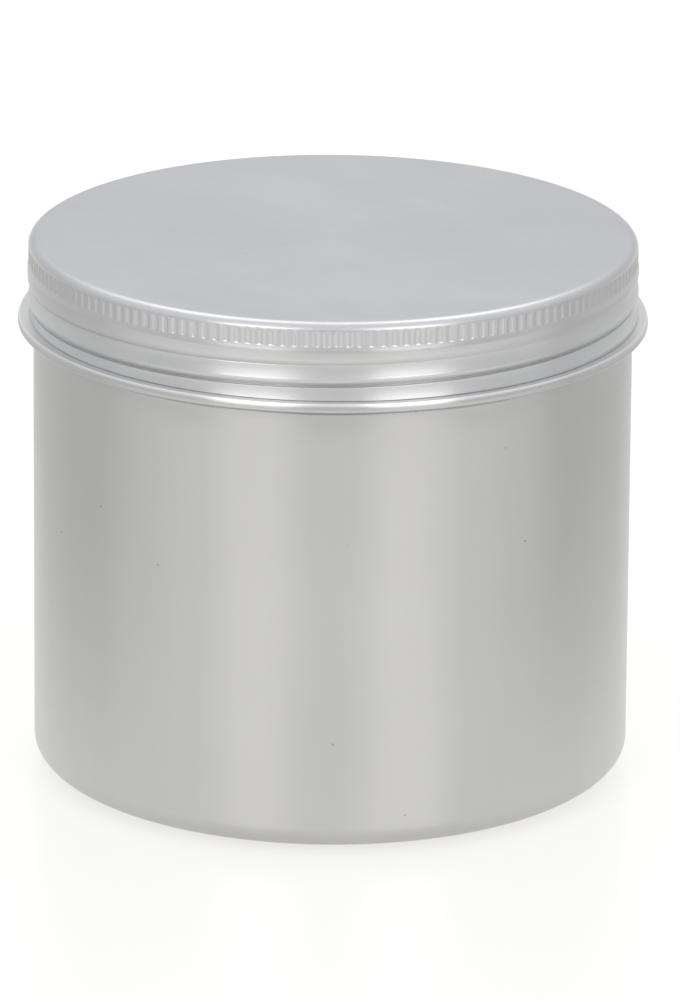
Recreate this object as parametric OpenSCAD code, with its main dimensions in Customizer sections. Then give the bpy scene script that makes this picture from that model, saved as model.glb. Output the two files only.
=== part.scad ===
// Aluminium candle tin with a screw lid: a can drawn from one disc, with a rolled neck thread
// and a stop bead, a drawn lid with a rolled thread and grip flutes, and a foam liner.
// The origin is the centre of the ring that the tin stands on, and +Z is up.

/* [Tin] */
// Overall height with the lid screwed down
total_h = 85; // [60:1:110]
// Thickness of the tin's sheet
tin_sheet = 0.45; // [0.35:0.05:0.5]
// Width of the rounded corner between wall and base
corner_w = 7.6; // [5:0.1:9]
// Height of the rounded corner between wall and base
corner_h = 4.7; // [3.5:0.1:8]
// How far the base is set up inside the standing ring
base_lift = 1.2; // [0.8:0.1:2]

/* [Lid] */
// Outside diameter of the lid
lid_d = 94.4; // [84:0.2:104]
// Height of the lid, from the top to the skirt's edge
lid_h = 12; // [12:0.5:14]
// Thickness of the lid's sheet
lid_sheet = 0.35; // [0.25:0.05:0.35]
// Number of grip flutes around the lid
flute_count = 172; // [120:4:180]
// Thickness of the foam liner
liner_t = 1.2; // [0.8:0.1:1.4]

/* [Thread] */
// Rise of the thread in one turn
pitch = 3.4; // [3.2:0.1:3.6]
// Depth of the groove rolled into the lid
groove_depth = 0.8; // [0.6:0.05:0.8]
// Height of the ridge rolled into the tin's neck
ridge_h = 0.65; // [0.5:0.05:0.65]

/* [Hidden] */

// Sides of the round walls, the threaded bands and a flute's cylinder, the longest step along
// an arc in degrees, and the steps of a bend
turned_sides = 120;
band_sides = 72;
flute_sides = 24;
arc_step = 15;
bend_steps = 6;

// Radii that follow from the lid's. The liner is as wide as the flat inside the lid's top.
lid_r = lid_d / 2;
body_r = lid_r - 0.9;
bead_r = lid_r + 1.5;
flute_band_r = lid_r - 0.15;
shoulder_r = 1.2;
neck_r = lid_r - groove_depth - lid_sheet - 0.3;
liner_r = flute_band_r - shoulder_r;

// Heights that follow from the lid's. Gap is left wherever two pieces would only touch.
gap = 0.05;
skirt_z = total_h - lid_h;
liner_z = total_h - lid_sheet - gap - liner_t;
rim_z = liner_z - gap;
bead_z = skirt_z - 0.87;

// Lid: the flutes' heights, width and depth, and the step out to the threaded band below them
flute_top_z = total_h - 0.9;
flute_bottom_z = total_h - 3.6;
flute_w = 1.15;
flute_depth = 0.17;
flute_cut_r = (pow(flute_w / 2, 2) + pow(flute_depth, 2)) / (2 * flute_depth);
step_z = [flute_bottom_z + 0.3, flute_bottom_z - 0.4];

// Lid: the skirt's edge leans in. The groove fades slowly at its upper end, and the land below each
// turn leans in towards it, less so close above the skirt's edge.
edge_lean = 0.2;
edge_h = 0.5;
groove_front_z = skirt_z + 1.95;
groove_above = 1.2;
groove_below = 0.6;
groove_ends = [-235, 410];
groove_fades = [40, 350];
land_lean = 0.45;
land_h = pitch - groove_above;
land_start_h = 0.8;
lid_band_z = [skirt_z + edge_h, total_h - 4.5];

// Tin: the bead's tip radius and flank slopes, the fillets beside it, and the wall's slow curve
// inwards to a waist under it
bead_tip_r = 0.76;
bead_under = 15;
bead_over = 2;
bead_fillet_r = 0.5;
root_fillet_r = 0.6;
waist = 0.3;
waist_z = bead_z - 8.6;
waist_h = 6.8;
waist_curve = 1.5;

// Tin: standing ring, rim curl, and the neck's ridge, which sits just above the lid's groove
stand_out_r = body_r - corner_w;
stand_in_r = stand_out_r - 2.6;
base_bend_w = 2.4;
curl_r = 0.85;
curl_turn = 250;
ridge_seat = 1.45;
ridge_half_w = 0.9;
ridge_ends = [-215, 300];
ridge_fades = [30, 30];
fade_curve = 0.7;
neck_band_z = [skirt_z + 0.7, rim_z - 1.8];

// How a band's thinner ends are let into the middle of the round walls above and below it
tuck_share = 0.3;
tuck_in = 0.12;
tuck_out = [0.05, 0.15];
band_row_h = 0.36;

// ---- outlines in (radius, height) ----

function unit(v) = v / norm(v);
function left_of(v) = [-v[1], v[0]];
function reversed(list) = [for (i = [len(list) - 1:-1:0]) list[i]];

// Points on an arc of an ellipse or circle about a centre
function arc(centre, size, a0, a1) =
    let (steps = ceil(abs(a1 - a0) / arc_step))
    [for (i = [0:steps]) let (a = a0 + (a1 - a0) * i / steps)
        centre + [size[0] * cos(a), size[1] * sin(a)]];

// A soft bend from one level to another, across the radius (bend_in_z) or up a wall (bend_in_r)
function eased(t) = (1 - cos(180 * t)) / 2;
function bend_in_z(from, to) =
    [for (i = [0:bend_steps]) let (t = i / bend_steps)
        [from[0] + (to[0] - from[0]) * t, from[1] + (to[1] - from[1]) * eased(t)]];
function bend_in_r(from, to) =
    [for (i = [0:bend_steps]) let (t = i / bend_steps)
        [from[0] + (to[0] - from[0]) * eased(t), from[1] + (to[1] - from[1]) * t]];

// The same outline moved to its left by the sheet's thickness (to its right if negative)
function mitre(path, i) =
    let (last = len(path) - 1,
         before = unit(path[max(i, 1)] - path[max(i, 1) - 1]),
         after = unit(path[min(i, last - 1) + 1] - path[min(i, last - 1)]),
         across = left_of(unit(before + after)))
    across / (across * left_of(after));
function moved_left(path, by) = [for (i = [0:len(path) - 1]) path[i] + by * mitre(path, i)];

// Sheet metal turned about the axis: an outline of its outer face, and its thickness
module turned_sheet(path, by) {
    rotate_extrude($fn = turned_sides)
        polygon(concat(path, reversed(moved_left(path, by))));
}

// ---- rolled threads ----

// Height of the groove's centre line at an angle counted through all its turns
function groove_z(turned) = groove_front_z + pitch * (turned + 90) / 360;

// How much of the full form is left at an angle, from 0 beyond the ends to 1
function faded(turned, ends, fades) =
    eased(max(0, min(1, (turned - ends[0]) / fades[0])))
    * pow(max(0, min(1, (ends[1] - turned) / fades[1])), fade_curve);

// A rounded form's height, from 0 to 1, at a distance from its centre
function rolled(from_centre, reach) =
    abs(from_centre) >= reach ? 0 : (1 + cos(180 * from_centre / reach)) / 2;

// The greatest value that a form has at an angle from 0 to 360, whichever of its turns passes there
function over_turns(a, form) = max([for (turn = [-1:1]) form(a + 360 * turn)]);

// Depth of the lid's groove: round above its corner, then a flank and the leaning land below it
function groove(turned, z) =
    let (depth = groove_depth * faded(turned, groove_ends, groove_fades),
         below = groove_z(turned) - z,
         lean = min(depth, land_lean) * min(1, (z - lid_band_z[0]) / land_start_h))
    below < 0 ? depth * (1 - sin(90 * min(1, -below / groove_above)))
    : max(depth * rolled(below, groove_below), lean * (1 - min(1, below / land_h)), 0);

// Height of the neck's ridge
function ridge(turned, z) =
    ridge_h * faded(turned, ridge_ends, ridge_fades)
    * rolled(z - groove_z(turned) - ridge_seat, ridge_half_w);

function lid_band_r(a, z) = lid_r - over_turns(a, function (turned) groove(turned, z));
function neck_band_r(a, z) = neck_r + over_turns(a, function (turned) ridge(turned, z));

// A closed ring of sheet with its rows at the heights given, and two thinner rows at each end.
// radii holds its outer radius, one list a row.
module sheet_band(heights, radii, sheet) {
    rows = len(heights);
    side_a = 360 / band_sides;
    tuck = [for (row = [0:rows - 1]) row < 2 || row > rows - 3 ? tuck_share * sheet : 0];
    outer = [for (row = [0:rows - 1]) for (side = [0:band_sides - 1])
        let (r = radii[row][side] - tuck[row])
        [r * cos(side * side_a), r * sin(side * side_a), heights[row]]];
    inner = [for (row = [0:rows - 1]) for (side = [0:band_sides - 1])
        let (r = radii[row][side] - sheet + tuck[row])
        [r * cos(side * side_a), r * sin(side * side_a), heights[row]]];
    inner_start = len(outer);
    outer_at = function (row, side) row * band_sides + side % band_sides;
    inner_at = function (row, side) inner_start + outer_at(row, side);
    walls = [for (row = [0:rows - 2]) for (side = [0:band_sides - 1]) each [
        [outer_at(row, side), outer_at(row + 1, side), outer_at(row + 1, side + 1)],
        [outer_at(row, side), outer_at(row + 1, side + 1), outer_at(row, side + 1)],
        [inner_at(row, side), inner_at(row + 1, side + 1), inner_at(row + 1, side)],
        [inner_at(row, side), inner_at(row, side + 1), inner_at(row + 1, side + 1)]]];
    ends = [for (side = [0:band_sides - 1]) each [
        [outer_at(0, side), outer_at(0, side + 1), inner_at(0, side + 1)],
        [outer_at(0, side), inner_at(0, side + 1), inner_at(0, side)],
        [outer_at(rows - 1, side), inner_at(rows - 1, side + 1), outer_at(rows - 1, side + 1)],
        [outer_at(rows - 1, side), inner_at(rows - 1, side), inner_at(rows - 1, side + 1)]]];
    polyhedron(concat(outer, inner), concat(walls, ends), convexity = 4);
}

// The rows of a band that fills the space from z0 to z1, with its ends let into the walls there
function band_rows(z0, z1) =
    let (low = z0 + tuck_out[1], high = z1 - tuck_out[1],
         steps = ceil((high - low) / band_row_h))
    concat(
        [z0 - tuck_in, z0 + tuck_out[0]],
        [for (i = [0:steps]) low + (high - low) * i / steps],
        [z1 - tuck_out[0], z1 + tuck_in]);
function side_angles() = [for (side = [0:band_sides - 1]) 360 * side / band_sides];

// ---- the pieces ----

bead_tip = [bead_r - bead_tip_r, bead_z];
// Where the bead's underside and its upper side meet their fillets
under_end = bead_tip + bead_tip_r * [cos(bead_under - 90), sin(bead_under - 90)];
over_end = bead_tip + bead_tip_r * [cos(bead_over + 90), sin(bead_over + 90)];
under_fillet = [body_r - waist + bead_fillet_r,
    under_end[1] - (under_end[0] - (body_r - waist + bead_fillet_r
        - bead_fillet_r * sin(bead_under))) * tan(bead_under) - bead_fillet_r * cos(bead_under)];
root_fillet = [neck_r + root_fillet_r,
    over_end[1] - (over_end[0] - (neck_r + root_fillet_r + root_fillet_r * sin(bead_over)))
        * tan(bead_over) + root_fillet_r * cos(bead_over)];

function tin_outline() = concat(
    [[0, base_lift]],
    bend_in_z([stand_in_r - base_bend_w, base_lift], [stand_in_r, 0]),
    arc([stand_out_r, corner_h], [corner_w, corner_h], -90, 0),
    [for (i = [0:bend_steps]) let (t = i / bend_steps)
        [body_r - waist * pow(t, waist_curve), waist_z + waist_h * t]],
    arc(under_fillet, [bead_fillet_r, bead_fillet_r], 180, bead_under + 90),
    arc(bead_tip, [bead_tip_r, bead_tip_r], bead_under - 90, bead_over + 90),
    arc(root_fillet, [root_fillet_r, root_fillet_r], bead_over + 270, 180),
    [[neck_r, neck_band_z[0]]]);

function rim_outline() = concat(
    [[neck_r, neck_band_z[1]]],
    arc([neck_r - curl_r, rim_z - curl_r], [curl_r, curl_r], 0, curl_turn));

// The drawn can: base, wall, bead and threaded neck, with its mouth curled inwards
module tin_body() {
    neck_rows = band_rows(neck_band_z[0], neck_band_z[1]);
    neck_radii = [for (z = neck_rows) [for (a = side_angles()) neck_band_r(a, z)]];
    color("lightgray") {
        turned_sheet(tin_outline(), tin_sheet);
        sheet_band(neck_rows, neck_radii, tin_sheet);
        turned_sheet(rim_outline(), tin_sheet);
    }
}

function lid_outline() = concat(
    [[0, total_h]],
    arc([flute_band_r - shoulder_r, total_h - shoulder_r], [shoulder_r, shoulder_r], 90, 0),
    bend_in_r([flute_band_r, step_z[0]], [lid_r, step_z[1]]),
    [[lid_r, lid_band_z[1]]]);

function skirt_edge_outline() = [
    [lid_r, lid_band_z[0]],
    [lid_r - edge_lean, skirt_z]];

// One upright grip flute for each place around the lid
module grip_flutes() {
    for (i = [0:flute_count - 1])
        rotate([0, 0, (i + 0.5) * 360 / flute_count])
            translate([flute_band_r - flute_depth + flute_cut_r, 0, flute_bottom_z])
                cylinder(r = flute_cut_r, h = flute_top_z - flute_bottom_z, $fn = flute_sides);
}

// The drawn lid: flat top, fluted grip band, and a skirt with the rolled thread
module screw_lid() {
    lid_rows = band_rows(lid_band_z[0], lid_band_z[1]);
    lid_radii = [for (z = lid_rows) [for (a = side_angles()) lid_band_r(a, z)]];
    color("silver") {
        difference() {
            turned_sheet(lid_outline(), -lid_sheet);
            grip_flutes();
        }
        sheet_band(lid_rows, lid_radii, lid_sheet);
        turned_sheet(skirt_edge_outline(), -lid_sheet);
    }
}

// The foam disc that seals on the rim
module lid_liner() {
    color("white")
        translate([0, 0, liner_z])
            cylinder(r = liner_r, h = liner_t, $fn = turned_sides);
}

tin_body();
screw_lid();
lid_liner();
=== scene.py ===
"""Candle tin: satin aluminium skins with fluted lid and rolled threads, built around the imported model."""
import math

import bpy
import numpy as np
from mathutils import Matrix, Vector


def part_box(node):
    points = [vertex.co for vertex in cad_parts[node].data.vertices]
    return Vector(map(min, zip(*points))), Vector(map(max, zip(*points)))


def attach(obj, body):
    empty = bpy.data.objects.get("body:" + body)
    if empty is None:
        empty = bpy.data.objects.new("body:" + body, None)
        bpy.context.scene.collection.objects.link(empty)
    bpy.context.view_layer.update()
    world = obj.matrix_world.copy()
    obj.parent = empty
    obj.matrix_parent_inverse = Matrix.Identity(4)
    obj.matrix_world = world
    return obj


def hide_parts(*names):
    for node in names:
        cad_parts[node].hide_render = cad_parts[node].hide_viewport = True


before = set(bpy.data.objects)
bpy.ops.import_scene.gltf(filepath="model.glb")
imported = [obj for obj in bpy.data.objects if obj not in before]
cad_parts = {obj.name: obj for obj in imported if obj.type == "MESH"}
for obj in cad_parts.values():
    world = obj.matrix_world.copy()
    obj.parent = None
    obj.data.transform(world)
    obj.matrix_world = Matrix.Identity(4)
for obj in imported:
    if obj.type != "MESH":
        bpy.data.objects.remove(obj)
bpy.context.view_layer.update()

MM = 0.001
CHANCE = np.random.default_rng(11)

# ---- sizes in millimetres: the main ones come from the frame, the rest are the sheet-metal forms ----


def node_size(node):
    """A node's greatest radius, lowest height and highest height."""
    low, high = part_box(node)
    return (high[0] - low[0]) / 2 / MM, low[2] / MM, high[2] / MM


BEAD_R, _, RIM_Z = node_size("tin_body")
LID_R, SKIRT_Z, TOP_Z = node_size("screw_lid")
LINER_R, LINER_Z, LINER_TOP_Z = node_size("lid_liner")

COLUMNS = 344            # columns of faces around the tin; two for each grip flute
ARC_STEP = 8             # degrees between the rows of a rounded form
CORNER_STEP = 5          # and of the tin's large corner
EDGE_STEP = 30           # and of the skirt's cut edge
LINER_STEP = 15          # and of the liner's edges
WAIST_STEPS = 13         # steps of the wall's narrowing below the bead
TINY = 1e-6              # a radius or step this small counts as none

# Lid
LID_SHEET = 0.35
LID_TOP_SPOKES = (0, 0.2, 0.4, 0.6, 0.8, 0.92, 0.98)    # where rings lie, as shares of the flat top
SHOULDER_W = 1.8
SHOULDER_H = 1.15
EDGE_H = 0.06            # height of the rounding of the skirt's cut edge
FLUTES = 172
FLUTE_COLUMNS = 12       # columns of faces across one flute and its land
FLUTE_BAND_R = LID_R - 0.15
FLUTE_TOP_Z = TOP_Z - 0.95
FLUTE_LOW_Z = TOP_Z - 3.62
FLUTE_W = 1.22
FLUTE_DEPTH = 0.11
FLUTE_FOOT = 2.6         # how many times steeper a flute's lower end is than its upper one
FLUTE_ROW_H = 0.06
FLUTE_SPREAD = (0.88, 1.12)      # how unevenly the flutes are rolled: their depth, and their height
FLUTE_SHIFT = 0.03
STEP_Z = FLUTE_LOW_Z + 0.15
STEP_H = 1.1             # height over which the fluted band widens to the threaded one
THREAD_TOP_Z = STEP_Z - STEP_H - 0.2

# Lid thread: a groove with a long round upper side and a short ledge below its corner, which fades
# towards its top end. The land below each turn leans in towards it.
PITCH = 3.4
GROOVE_DEPTH = 0.8
GROOVE_FRONT_Z = SKIRT_Z + 2.1
GROOVE_ABOVE = 1.25
GROOVE_BELOW = 0.16
GROOVE_CURVE = 1.2
GROOVE_ENDS = (-235, 410)
GROOVE_FADES = (40, 350)
GROOVE_ROW_H = 0.04
FADE_CURVE = 0.7
LAND_LEAN = 0.4
LAND_CURVE = 1.5

# Tin
TIN_SHEET = 0.45
BODY_R = LID_R - 0.9
CORNER_W = 7.6
CORNER_H = 4.7
STAND_OUT_R = BODY_R - CORNER_W
STAND_IN_R = STAND_OUT_R - 2.6
BASE_LIFT = 1.2
BASE_BEND_W = 2.4
PANEL_SPOKES = (0, 0.25, 0.5, 0.75, 0.9, 0.97)
WALL_ROW_H = 4.0
BEAD_Z = SKIRT_Z - 1.09  # where the bead is widest
BEAD_FACE_R = 1.9        # its face above that height, which leans in up to its top corner
BEAD_LEAN = 30
BEAD_CORNER_R = 0.22
BEAD_LEDGE_RISE = 0.01   # how much its top rises from that corner to the neck
BEAD_UNDER_W = 0.5       # the quarter of an ellipse below it
BEAD_UNDER_H = 0.48
BEAD_UNDER = 15          # slope of its underside in degrees
CREASE_W = 0.22          # the fold between the wall and that underside
CREASE_H = 0.09
ROOT_FILLET_R = 0.6
WAIST = 0.3              # how far the wall narrows below the bead
WAIST_Z = BEAD_Z - 7.9
WAIST_H = 6.3
THREAD_ROOM = 0.3
NECK_R = LID_R - GROOVE_DEPTH - LID_SHEET - THREAD_ROOM
CURL_R = 0.85
CURL_TURN = 250

# Tin thread: a round ridge just above the lid's groove
RIDGE_H = 0.65
RIDGE_SEAT = 1.45
RIDGE_HALF_W = 0.9
RIDGE_ENDS = (-215, 300)
RIDGE_FADES = (30, 30)
RIDGE_ROW_H = 0.14

# Liner
LINER_EDGE_R = 0.25
LINER_SPOKES = (0, 0.25, 0.5, 0.75, 0.95)

# ---- outlines: arrays of (radius, height) ----


def arc(centre, size, start, end, step=ARC_STEP):
    """Points on an arc of a circle or ellipse, with start and end in degrees."""
    steps = max(2, math.ceil(abs(end - start) / step))
    angles = np.radians(np.linspace(start, end, steps + 1))
    return np.column_stack([centre[0] + size[0] * np.cos(angles), centre[1] + size[1] * np.sin(angles)])


def straight(start, end, step):
    """Points on a straight line, about a step apart."""
    steps = max(1, math.ceil(math.dist(start, end) / step))
    return np.linspace(start, end, steps + 1)


def bend(start, end, eased_axis, steps=10):
    """A soft bend from one level to another: even along one axis and eased along the other."""
    even = np.linspace(0, 1, steps + 1)
    share = np.column_stack([even, even])
    share[:, eased_axis] = (1 - np.cos(math.pi * even)) / 2
    return np.array(start) + (np.array(end) - np.array(start)) * share


def joined(*stretches):
    """One outline from several, with the points that two stretches share kept once."""
    points = np.vstack([np.atleast_2d(np.array(s, float)) for s in stretches])
    apart = np.hypot(*np.diff(points, axis=0).T) > TINY
    return points[np.concatenate([[True], apart])]


def beside(outline, distance):
    """The outline moved to its left by a distance, or to its right if that is negative."""
    ways = np.diff(outline, axis=0)
    ways /= np.linalg.norm(ways, axis=1)[:, None]
    before = np.vstack([ways[:1], ways])
    after = np.vstack([ways, ways[-1:]])
    middle = before + after
    middle /= np.linalg.norm(middle, axis=1)[:, None]
    across = np.column_stack([-middle[:, 1], middle[:, 0]])
    left = np.column_stack([-after[:, 1], after[:, 0]])
    return outline + distance * across / (across * left).sum(axis=1)[:, None]


# ---- rolled forms ----


def groove_z(turned):
    """Height of the lid groove's centre line at an angle counted through all its turns."""
    return GROOVE_FRONT_Z + PITCH * (turned + 90) / 360


def faded(turned, ends, fades):
    """How much of the full form is left at an angle, from 0 beyond its ends to 1."""
    rise = np.clip((turned - ends[0]) / fades[0], 0, 1)
    fall = np.clip((ends[1] - turned) / fades[1], 0, 1)
    return (1 - np.cos(math.pi * rise)) / 2 * fall ** FADE_CURVE


def groove_depths(angles, height):
    """Depth of the lid's groove around one row: a round side above its sharp corner, and a round lip
    and a leaning land below it."""
    depths = np.zeros(len(angles))
    for turn in (-1, 0, 1):
        turned = angles + 360 * turn
        depth = GROOVE_DEPTH * faded(turned, GROOVE_ENDS, GROOVE_FADES)
        below = groove_z(turned) - height
        lean = np.minimum(depth, LAND_LEAN)
        upper = (1 - np.sin(math.pi / 2 * np.clip(-below / GROOVE_ABOVE, 0, 1))) ** GROOVE_CURVE
        lip = 1 - np.sin(math.pi / 2 * np.clip(below / GROOVE_BELOW, 0, 1))
        down_land = np.clip((below - GROOVE_BELOW) / (PITCH - GROOVE_ABOVE - GROOVE_BELOW), 0, 1)
        land = lean * (1 - down_land ** LAND_CURVE)
        depths = np.maximum(depths, np.where(below < 0, depth * upper, (depth - lean) * lip + land))
    return depths


def ridge_form(above_centre):
    """Height of the neck's ridge, from 0 to 1."""
    return (1 + np.cos(math.pi * np.clip(abs(above_centre - RIDGE_SEAT) / RIDGE_HALF_W, 0, 1))) / 2


def ridge_heights(angles, height):
    """Height of the neck's ridge around one row, whichever of its turns passes there."""
    turns = [angles + 360 * turn for turn in (-1, 0, 1)]
    return RIDGE_H * np.max([faded(turned, RIDGE_ENDS, RIDGE_FADES) * ridge_form(height - groove_z(turned))
                             for turned in turns], axis=0)


def smooth_between(low, high, value):
    """A share from 0 to 1 that eases in and out as a value goes from low to high."""
    share = np.clip((value - low) / (high - low), 0, 1)
    return share * share * (3 - 2 * share)


def flute_depths(angles, height):
    """How deep the grip flutes are around one row. Each is a shallow scoop with a steeper foot."""
    place = angles / 360 * FLUTES
    number = np.floor(place).astype(int) % FLUTES
    across = (place - np.floor(place) - 0.5) * 2 * math.pi * FLUTE_BAND_R / FLUTES
    half_w = FLUTE_W / 2
    above = height - (FLUTE_TOP_Z - half_w + FLUTE_SHIFTS[number])
    below = FLUTE_LOW_Z + half_w / FLUTE_FOOT + FLUTE_SHIFTS[number] - height
    beyond = np.maximum(0, np.maximum(above, FLUTE_FOOT * below))
    share = np.hypot(across, beyond) / half_w
    return FLUTE_DEPTHS[number] * (1 - smooth_between(0.4, 1, share))


FLUTE_DEPTHS = FLUTE_DEPTH * CHANCE.uniform(*FLUTE_SPREAD, FLUTES)
FLUTE_SHIFTS = CHANCE.uniform(-FLUTE_SHIFT, FLUTE_SHIFT, FLUTES)


def hand_of_the_press(angles, height):
    """The slight unevenness that drawing leaves in a wall: slow waves around it, and quicker, lower ones
    that lean with the height."""
    turn = np.radians(angles)
    slow = np.sin(2 * turn + 0.9) + 0.7 * np.sin(3 * turn + 2.1 + height / 60)
    quick = 0.35 * np.sin(7 * turn + 0.4 + height / 23) + 0.22 * np.sin(11 * turn - height / 17)
    return 0.02 * slow + 0.012 * quick


# ---- meshes ----


def column_angles(columns):
    """The angles of evenly spaced columns, in degrees."""
    return np.arange(columns) * 360 / columns


def ring(angles, radii, height):
    """Points around the axis at one height."""
    turn = np.radians(angles)
    return np.column_stack([radii * np.cos(turn), radii * np.sin(turn), np.full(len(angles), height)])


def pole(height):
    """The single point of a ring that has shrunk onto the axis."""
    return np.array([[0, 0, height]], float)


def faces_between(upper, lower, upper_start, lower_start):
    """The faces from one ring to the next, where one of them may be a pole or have more columns."""
    many, few = max(upper, lower), min(upper, lower)
    side = np.arange(many)
    after = (side + 1) % many
    if few == many:
        return np.column_stack(
            [upper_start + side, lower_start + side, lower_start + after, upper_start + after]).tolist()
    if upper == 1:
        return np.column_stack(
            [np.full(many, upper_start), lower_start + side, lower_start + after]).tolist()
    if lower == 1:
        return np.column_stack(
            [upper_start + side, np.full(many, lower_start), upper_start + after]).tolist()
    share = many // few
    faces = []
    for i in range(few):
        following = (i + 1) % few
        fine = [(i * share + step) % many for step in range(share + 1)]
        if upper == many:
            faces.append([lower_start + i, lower_start + following] + [upper_start + f for f in fine[::-1]])
        else:
            faces.append([upper_start + following, upper_start + i] + [lower_start + f for f in fine])
    return faces


def skin(name, rings, material, body, node):
    """One closed piece through rings in order, the outer side on the left of the way they run."""
    starts = np.concatenate([[0], np.cumsum([len(r) for r in rings])])
    faces = []
    for i in range(len(rings) - 1):
        faces += faces_between(len(rings[i]), len(rings[i + 1]), starts[i], starts[i + 1])
    mesh = bpy.data.meshes.new(name)
    mesh.from_pydata((np.vstack(rings) * MM).tolist(), [], faces)
    mesh.shade_smooth()
    mesh.materials.append(material)
    piece = bpy.data.objects.new(name, mesh)
    bpy.context.scene.collection.objects.link(piece)
    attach(piece, body)
    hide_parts(node)
    return piece


def plain_rings(outline, press=0.0):
    """Rings through an outline, with a share of the press's unevenness."""
    angles = column_angles(COLUMNS)
    rings = []
    for radius, height in outline:
        if radius < TINY:
            rings.append(pole(height))
        else:
            rings.append(ring(angles, radius + press * hand_of_the_press(angles, height), height))
    return rings


def lid_rings():
    """The lid's rings: top, shoulder, flutes, thread, skirt edge, and the same again inside."""
    coarse = column_angles(COLUMNS)
    fine = column_angles(FLUTES * FLUTE_COLUMNS)

    def threaded(radius, heights):
        return [ring(coarse, radius - groove_depths(coarse, z), z) for z in heights]

    edge_r = LID_SHEET / 2
    edge_z = SKIRT_Z + EDGE_H
    flat_r = FLUTE_BAND_R - SHOULDER_W
    top = np.array([[share * flat_r, TOP_Z] for share in LID_TOP_SPOKES])
    shoulder = arc((flat_r, TOP_Z - SHOULDER_H), (SHOULDER_W, SHOULDER_H), 90, 0)
    band = straight((FLUTE_BAND_R, TOP_Z - SHOULDER_H), (FLUTE_BAND_R, STEP_Z), FLUTE_ROW_H)
    widen = bend((FLUTE_BAND_R, STEP_Z), (LID_R, STEP_Z - STEP_H), 0)
    face = joined(top, shoulder, band, widen)
    fluted = (face[:, 1] < FLUTE_TOP_Z + FLUTE_ROW_H) & (face[:, 1] > FLUTE_LOW_Z - FLUTE_ROW_H)

    outer = []
    for (radius, height), has_flutes in zip(face, fluted):
        if radius < TINY:
            outer.append(pole(height))
        elif has_flutes:
            outer.append(ring(fine, radius - flute_depths(fine, height), height))
        else:
            outer.append(ring(coarse, radius, height))
    heights = np.arange(THREAD_TOP_Z, edge_z, -GROOVE_ROW_H)
    outer += threaded(LID_R, heights)

    middle_r = LID_R - edge_r - groove_depths(coarse, edge_z)
    edge = [ring(coarse, middle_r + radius, height)
            for radius, height in arc((0, edge_z), (edge_r, EDGE_H), 0, -180, EDGE_STEP)]
    inner = threaded(LID_R - LID_SHEET, heights[::-2])
    inner_face = beside(joined(top, shoulder, [band[-1]], widen), -LID_SHEET)[::-1]
    inner_face[-1, 0] = 0
    return outer + edge + inner + plain_rings(inner_face)


def bead_outline(crease_w):
    """The fold between wall and bead, the bead and the fillet above it, upwards. Inside the tin the same
    outline has no fold, so its crease_w is 0."""
    wall_r = BODY_R - WAIST
    under = arc((BEAD_R - BEAD_UNDER_W, BEAD_Z), (BEAD_UNDER_W, BEAD_UNDER_H), -90 + BEAD_UNDER, 0)
    fold_r = wall_r - crease_w
    fold_z = under[0, 1] - (under[0, 0] - fold_r) * math.tan(math.radians(BEAD_UNDER))
    face = arc((BEAD_R - BEAD_FACE_R, BEAD_Z), (BEAD_FACE_R, BEAD_FACE_R), 0, BEAD_LEAN)
    lean = math.radians(BEAD_LEAN)
    corner_at = face[-1] - BEAD_CORNER_R * np.array([math.cos(lean), math.sin(lean)])
    root_at = (NECK_R + ROOT_FILLET_R, corner_at[1] + BEAD_CORNER_R + BEAD_LEDGE_RISE + ROOT_FILLET_R)
    return joined(
        [(wall_r, fold_z - CREASE_H), (fold_r, fold_z)],
        under,
        face,
        arc(corner_at, (BEAD_CORNER_R, BEAD_CORNER_R), BEAD_LEAN, 90),
        arc(root_at, (ROOT_FILLET_R, ROOT_FILLET_R), 270, 180))


def waist_outline():
    """The wall's slow narrowing under the bead, steepest near its top."""
    share = np.linspace(0, 1, WAIST_STEPS + 1)
    narrowed = WAIST * (1 - np.cos(math.pi * share ** 2)) / 2
    return np.column_stack([BODY_R - narrowed, WAIST_Z + WAIST_H * share])


def tin_rings():
    """The tin's rings, from the middle of its floor inside, over the rim, to the middle of its base."""
    angles = column_angles(COLUMNS)
    panel_r = STAND_IN_R - BASE_BEND_W
    panel = np.array([[share * panel_r, BASE_LIFT] for share in PANEL_SPOKES])
    wall_top = (BODY_R, WAIST_Z)
    can = joined(
        panel,
        bend((panel_r, BASE_LIFT), (STAND_IN_R, 0), 1),
        arc((STAND_OUT_R, CORNER_H), (CORNER_W, CORNER_H), -90, 0, CORNER_STEP),
        straight((BODY_R, CORNER_H), wall_top, WALL_ROW_H),
        waist_outline())
    below_neck = joined(can, bead_outline(CREASE_W))
    neck_start_z = below_neck[-1, 1]
    curl_z = RIM_Z - CURL_R
    curl = arc((NECK_R - CURL_R, curl_z), (CURL_R, CURL_R), 0, CURL_TURN)
    neck_heights = np.arange(neck_start_z + RIDGE_ROW_H, curl_z - RIDGE_ROW_H / 2, RIDGE_ROW_H)

    def neck(radius):
        return [ring(angles, radius + ridge_heights(angles, z), z) for z in neck_heights]

    outer = plain_rings(below_neck, 1) + neck(NECK_R) + plain_rings(curl)
    inner_low = beside(joined(can, bead_outline(0), [(NECK_R, neck_start_z + RIDGE_ROW_H)]), TIN_SHEET)[:-1]
    inner_low[0, 0] = 0
    inner = plain_rings(inner_low, 1) + neck(NECK_R - TIN_SHEET) + plain_rings(beside(curl, TIN_SHEET))
    return inner + outer[::-1]


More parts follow.
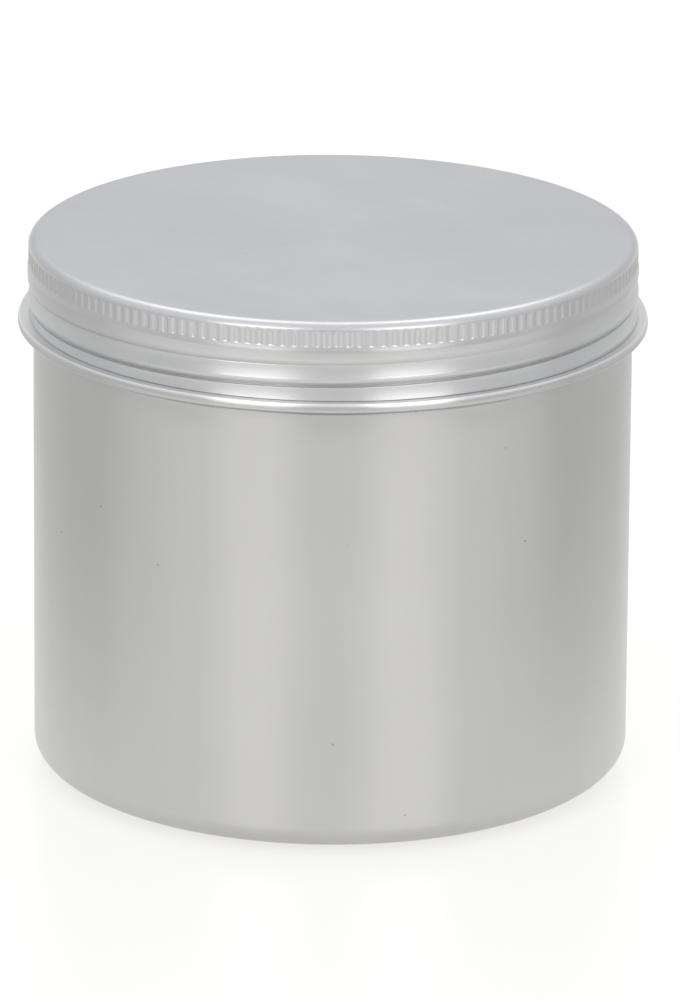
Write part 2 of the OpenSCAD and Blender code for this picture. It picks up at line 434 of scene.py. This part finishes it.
def liner_rings():
    """The liner's rings: a disc whose cut edges are a little rounded."""
    round_r = (LINER_EDGE_R, LINER_EDGE_R)
    edge_r = LINER_R - LINER_EDGE_R
    outline = joined(
        [(share * edge_r, LINER_TOP_Z) for share in LINER_SPOKES],
        arc((edge_r, LINER_TOP_Z - LINER_EDGE_R), round_r, 90, 0, LINER_STEP),
        arc((edge_r, LINER_Z + LINER_EDGE_R), round_r, 0, -90, LINER_STEP),
        [(share * edge_r, LINER_Z) for share in LINER_SPOKES[::-1]])
    return plain_rings(outline)


# ---- materials ----

# Aluminium: noise scales along the turn, and across it a metre up or out; the others for each metre
GRAIN_SCALES = (2.2, 1900.0, 1900.0)
SMEAR_SCALES = (7.0, 18.0, 60.0)
FROST_SCALE = 3600.0
CLOUD_SCALE = 42.0
SPECK_SCALE = 125.0
SPECK_EDGE = (0.018, 0.028)      # a speck's radius, as shares of the room between specks
SPECK_STRENGTH = 0.5
SPECK_COLOUR = (0.12, 0.12, 0.12, 1)
SHEEN_LOSS = 0.035
RUBBED = 0.05
GRAIN_DIRECTION = (0.75, 0.15)   # how strongly the grain is directed, on the turned sides and the top
ROUGHNESS = 0.34


class Nodes:
    """A short way to build a material's node tree."""

    def __init__(self, name):
        self.material = bpy.data.materials.new(name)
        self.material.use_nodes = True
        self.tree = self.material.node_tree
        self.shader = self.tree.nodes["Principled BSDF"]

    def add(self, kind, inputs=None, **settings):
        node = self.tree.nodes.new(kind)
        for key, value in settings.items():
            setattr(node, key, value)
        for key, value in (inputs or {}).items():
            self.put(node.inputs[key], value)
        return node

    def put(self, socket, value):
        """A socket's value, or a link to it."""
        if isinstance(value, bpy.types.NodeSocket):
            self.tree.links.new(value, socket)
        else:
            socket.default_value = value

    def calc(self, kind, *values):
        """The result of one step of arithmetic."""
        return self.add("ShaderNodeMath", dict(enumerate(values)), operation=kind).outputs[0]

    def weighted(self, *parts):
        """The sum of several values, each given with its weight."""
        total = 0.0
        for value, weight in parts:
            total = self.calc("MULTIPLY_ADD", value, weight, total)
        return total

    def stretched(self, values, scales):
        """A vector of three values, each times its own scale."""
        scaled = [self.calc("MULTIPLY", value, scale) for value, scale in zip(values, scales)]
        return self.add("ShaderNodeCombineXYZ", dict(enumerate(scaled))).outputs[0]

    def between(self, value, low, high, out_low, out_high):
        """A value moved from one range to another and kept within it."""
        inputs = {"Value": value, "From Min": low, "From Max": high, "To Min": out_low, "To Max": out_high}
        return self.add("ShaderNodeMapRange", inputs).outputs["Result"]

    def noise(self, vector, scale, detail, roughness):
        """Cloudy noise from 0 to 1."""
        inputs = {"Vector": vector, "Scale": scale, "Detail": detail, "Roughness": roughness}
        return self.add("ShaderNodeTexNoise", inputs).outputs["Fac"]

    def blend(self, factor, first, second):
        """A colour between two others."""
        node = self.add("ShaderNodeMix", data_type="RGBA")
        self.put(node.inputs[0], factor)
        self.put(node.inputs[6], first)
        self.put(node.inputs[7], second)
        return node.outputs[2]

    def bump(self, height, strength, distance, normal=None):
        """A normal tilted by a height, on top of another normal if one is given."""
        inputs = {"Height": height, "Strength": strength, "Distance": distance}
        if normal is not None:
            inputs["Normal"] = normal
        return self.add("ShaderNodeBump", inputs).outputs["Normal"]


def around_axis(nodes):
    """The place on a piece, and its turn in radians and its height and radius in metres."""
    place = nodes.add("ShaderNodeTexCoord").outputs["Object"]
    axes = nodes.add("ShaderNodeSeparateXYZ", {"Vector": place}).outputs
    turn = nodes.calc("ARCTAN2", axes["Y"], axes["X"])
    radius = nodes.calc("SQRT", nodes.weighted((axes["X"], axes["X"]), (axes["Y"], axes["Y"])))
    return place, turn, axes["Z"], radius


def satin_aluminium(name, colour, dull_colour, roughness, polished_r, painted_light_z, painted_light_gain):
    """Aluminium sheet with fine grain around its axis, faint clouding, and a few specks. It is rubbed
    smoother out between the radii polished_r, and past a given height its colour is painted brighter: a
    painted highlight that lifts zones lying in shade."""
    nodes = Nodes(name)
    place, *brushing = around_axis(nodes)
    height, radius = brushing[1:]

    # fine scratches run around the axis, so they are long along the turn and thin across it
    grain = nodes.noise(nodes.stretched(brushing, GRAIN_SCALES), 1.0, 3.0, 0.7)
    smears = nodes.noise(nodes.stretched(brushing, SMEAR_SCALES), 1.0, 3.0, 0.5)
    frost = nodes.noise(place, FROST_SCALE, 2.0, 0.6)
    clouds = nodes.noise(place, CLOUD_SCALE, 4.0, 0.55)

    tone = nodes.weighted((clouds, 0.55), (smears, 0.3), (frost, 0.15))
    base = nodes.blend(nodes.between(tone, 0.35, 0.65, 0.0, 1.0), dull_colour, colour)
    # painted highlight: the base colour is made brighter past a height, to lighten zones that lie in shade
    painted_gain = nodes.between(height, painted_light_z[0] * MM, painted_light_z[1] * MM, 1.0, painted_light_gain)
    painted_light_base = nodes.add("ShaderNodeVectorMath", {"Vector": base, "Scale": painted_gain}, operation="SCALE").outputs[0]
    specks = nodes.add("ShaderNodeTexVoronoi", {"Vector": place, "Scale": SPECK_SCALE}).outputs["Distance"]
    speck = nodes.between(specks, *SPECK_EDGE, SPECK_STRENGTH, 0.0)
    nodes.put(nodes.shader.inputs["Base Color"], nodes.blend(speck, painted_light_base, SPECK_COLOUR))

    # the proudest forms are rubbed a little smoother by the rolling tools and by handling
    unevenness = nodes.between(nodes.weighted((grain, 0.6), (clouds, 0.4)), 0.3, 0.7, -SHEEN_LOSS, SHEEN_LOSS)
    rubbed = nodes.between(radius, polished_r[0] * MM, polished_r[1] * MM, 0.0, RUBBED)
    nodes.put(nodes.shader.inputs["Roughness"],
              nodes.calc("SUBTRACT", nodes.calc("ADD", unevenness, roughness), rubbed))

    fine = nodes.bump(frost, 0.10, 0.00003)
    nodes.put(nodes.shader.inputs["Normal"], nodes.bump(grain, 0.16, 0.00005, fine))
    nodes.put(nodes.shader.inputs["Tangent"],
              nodes.add("ShaderNodeTangent", direction_type="RADIAL", axis="Z").outputs[0])
    # the lid's top was not turned, so its grain has hardly a direction
    nodes.put(nodes.shader.inputs["Anisotropic"],
              nodes.between(height, (TOP_Z - 0.4) * MM, (TOP_Z - 0.05) * MM, *GRAIN_DIRECTION))
    nodes.shader.inputs["Metallic"].default_value = 1.0
    nodes.shader.inputs["Anisotropic Rotation"].default_value = 0.25
    return nodes.material


def closed_cell_foam(name):
    """White polyethylene foam with fine cells and a faint yellow cast in places."""
    nodes = Nodes(name)
    place = nodes.add("ShaderNodeTexCoord").outputs["Object"]
    cells = nodes.add("ShaderNodeTexVoronoi", {"Vector": place, "Scale": 1100.0}).outputs["Distance"]
    clouds = nodes.noise(place, 70.0, 3.0, 0.5)
    nodes.put(nodes.shader.inputs["Base Color"],
              nodes.blend(nodes.between(clouds, 0.35, 0.65, 0.0, 1.0),
                          (0.84, 0.84, 0.81, 1), (0.90, 0.90, 0.89, 1)))
    nodes.put(nodes.shader.inputs["Roughness"], nodes.between(cells, 0.1, 0.6, 0.5, 0.68))
    nodes.put(nodes.shader.inputs["Normal"], nodes.bump(cells, 0.5, 0.00015))
    nodes.shader.inputs["Specular IOR Level"].default_value = 0.35
    nodes.shader.inputs["Subsurface Weight"].default_value = 0.15
    nodes.shader.inputs["Subsurface Radius"].default_value = (0.002, 0.002, 0.002)
    return nodes.material


# ---- the pieces ----

# the lid's threaded band below the flutes gets a painted lightening: its colour is 5% brighter
lid_metal = satin_aluminium(
    "lid_aluminium", colour=(0.58, 0.58, 0.58, 1), dull_colour=(0.55, 0.55, 0.55, 1), roughness=ROUGHNESS,
    polished_r=(LID_R - 0.1, LID_R), painted_light_z=(FLUTE_LOW_Z - STEP_H, FLUTE_LOW_Z - 2 * STEP_H),
    painted_light_gain=1.05)
# painted highlight: above the bead's widest part the tin's colour is 1.4 times brighter, to lighten the ledge
# that lies in the lid's shade
tin_metal = satin_aluminium(
    "tin_aluminium", colour=(0.56, 0.557, 0.547, 1), dull_colour=(0.53, 0.527, 0.517, 1),
    roughness=ROUGHNESS, polished_r=(BODY_R + 0.4, BEAD_R), painted_light_z=(BEAD_Z + 0.6, BEAD_Z + 1),
    painted_light_gain=1.4)
foam = closed_cell_foam("liner_foam")

skin("tin_shell", tin_rings(), tin_metal, "tin", "tin_body")
skin("lid_shell", lid_rings(), lid_metal, "lid", "screw_lid")
skin("liner_disc", liner_rings(), foam, "liner", "lid_liner")

# ---- the studio, in metres ----

CAMERA_PLACE = (0.0, -1.4158, 0.5014)
CAMERA_TILT = math.radians(17.97)
CAMERA_PAN = -0.00092
CAMERA_ROLL = 0.0075
LENS_MM = 344.4
SENSOR_MM = 36.0
CLIP_END = 20.0

# The floor's glow, and where it falls: from the tin outwards, from in front of the tin to beside it,
# far behind it, and far in front of it
FLOOR_R = 4.0
FLOOR_COLOUR = (0.28, 0.28, 0.27, 1)
FLOOR_GLOW_COLOUR = (1, 0.993, 0.955, 1)
FLOOR_GLOW = 0.65
SIDE_GLOW = 0.3
FAR_GLOW = 0.3
ASIDE = (0.055, 0.16)
BESIDE = (-0.16, 0.0)
BEHIND = (0.3, 1.0)
AHEAD = (-0.55, -0.28)

# Azimuth 0 is on the camera's side, and 90 is on its right
SOFTBOX = {"azimuth": 29, "elevation": 30, "distance": 0.9, "size": (0.42, 0.56), "power": 1.3,
           "colour": (1, 0.965, 0.945)}
OVERHEAD = {"azimuth": 166, "elevation": 50, "distance": 1.2, "size": (0.3, 0.45), "power": 0.75,
            "colour": (1, 1, 1)}
LIGHTS_AIM_Z = TOP_Z * MM / 2

# The sky's strength, and the stretches of its direction's height and of its depth where that changes
SKY_COLOUR = (0.945, 0.962, 1.0, 1)
SKY_FRONT = 0.55
SKY_BACK = 0.79
SKY_TOP = 1.06
SKY_FRONT_RISE = (0.1, 0.36)
SKY_BACK_RISE = (0.36, 0.8)
SKY_AROUND = (-0.4, 0.4)


def floor_board(name):
    """A pale, half-matt board with a glow of its own, so that shadows on it stay faint. It is less
    lit beside and behind the tin, and far in front of it."""
    nodes = Nodes(name)
    nodes.shader.inputs["Base Color"].default_value = FLOOR_COLOUR
    nodes.shader.inputs["Roughness"].default_value = 0.24
    nodes.shader.inputs["Emission Color"].default_value = FLOOR_GLOW_COLOUR
    place = nodes.add("ShaderNodeTexCoord").outputs["Object"]
    axes = nodes.add("ShaderNodeSeparateXYZ", {"Vector": place}).outputs
    aside = nodes.between(nodes.calc("ABSOLUTE", axes["X"]), *ASIDE, 0.0, 1.0)
    level = nodes.calc("MULTIPLY", nodes.between(axes["Y"], *BESIDE, 0.0, 1.0),
                       nodes.between(axes["Y"], *BEHIND, 1.0, 0.0))
    glow = nodes.between(nodes.calc("MULTIPLY", aside, level), 0.0, 1.0, FLOOR_GLOW, SIDE_GLOW)
    ahead = nodes.between(axes["Y"], *AHEAD, FAR_GLOW / FLOOR_GLOW, 1.0)
    nodes.put(nodes.shader.inputs["Emission Strength"], nodes.calc("MULTIPLY", glow, ahead))
    return nodes.material


def make_floor():
    """A round floor at the tin's foot."""
    bpy.ops.mesh.primitive_circle_add(vertices=96, radius=FLOOR_R, fill_type="NGON", location=(0, 0, 0))
    floor = bpy.context.object
    floor.name = "studio_floor"
    floor.data.materials.append(floor_board("floor_board"))


def area_light(name, azimuth, elevation, distance, size, power, colour):
    """An area light that faces the tin."""
    turn, rise = math.radians(azimuth), math.radians(elevation)
    place = (distance * math.cos(rise) * math.sin(turn),
             -distance * math.cos(rise) * math.cos(turn),
             LIGHTS_AIM_Z + distance * math.sin(rise))
    lamp = bpy.data.lights.new(name, "AREA")
    lamp.shape = "RECTANGLE"
    lamp.size, lamp.size_y = size
    lamp.energy = power
    lamp.color = colour
    light = bpy.data.objects.new(name, lamp)
    light.matrix_world = (Matrix.Translation(place) @ Matrix.Rotation(turn, 4, "Z")
                          @ Matrix.Rotation(math.pi / 2 - rise, 4, "X"))
    bpy.context.scene.collection.objects.link(light)


def make_lights():
    """The same two lights on each side of the tin."""
    for side, word in ((-1, "left"), (1, "right")):
        for kind, light in (("softbox", SOFTBOX), ("overhead", OVERHEAD)):
            area_light(f"{kind}_{word}", **{**light, "azimuth": side * light["azimuth"]})


def make_sky():
    """A white studio: brightest overhead, and darker low down on the camera's side."""
    world = bpy.data.worlds.new("studio")
    world.use_nodes = True
    tree = world.node_tree
    background = tree.nodes["Background"]
    way = tree.nodes.new("ShaderNodeTexCoord").outputs["Generated"]
    axes = tree.nodes.new("ShaderNodeSeparateXYZ")
    tree.links.new(way, axes.inputs[0])

    def smooth_range(value, values_from, values_to):
        node = tree.nodes.new("ShaderNodeMapRange")
        node.interpolation_type = "SMOOTHSTEP"
        tree.links.new(value, node.inputs["Value"])
        for word, ends in (("From", values_from), ("To", values_to)):
            node.inputs[word + " Min"].default_value = ends[0]
            node.inputs[word + " Max"].default_value = ends[1]
        return node

    front = smooth_range(axes.outputs["Z"], SKY_FRONT_RISE, (SKY_FRONT, SKY_TOP))
    back = smooth_range(axes.outputs["Z"], SKY_BACK_RISE, (SKY_BACK, SKY_TOP))
    around = smooth_range(axes.outputs["Y"], SKY_AROUND, (0.0, 1.0))
    tree.links.new(front.outputs["Result"], around.inputs["To Min"])
    tree.links.new(back.outputs["Result"], around.inputs["To Max"])
    tree.links.new(around.outputs["Result"], background.inputs["Strength"])
    background.inputs["Color"].default_value = SKY_COLOUR
    bpy.context.scene.world = world


def make_camera():
    """The camera in front of the tin, a little above it."""
    camera = bpy.data.cameras.new("studio_camera")
    camera.lens = LENS_MM
    camera.sensor_width = SENSOR_MM
    camera.clip_end = CLIP_END
    holder = bpy.data.objects.new("studio_camera", camera)
    holder.matrix_world = (Matrix.Translation(CAMERA_PLACE) @ Matrix.Rotation(CAMERA_PAN, 4, "Z")
                           @ Matrix.Rotation(math.pi / 2 - CAMERA_TILT, 4, "X")
                           @ Matrix.Rotation(CAMERA_ROLL, 4, "Z"))
    bpy.context.scene.collection.objects.link(holder)
    bpy.context.scene.camera = holder


make_floor()
make_lights()
make_sky()
make_camera()
bpy.context.scene.view_settings.view_transform = "Standard"
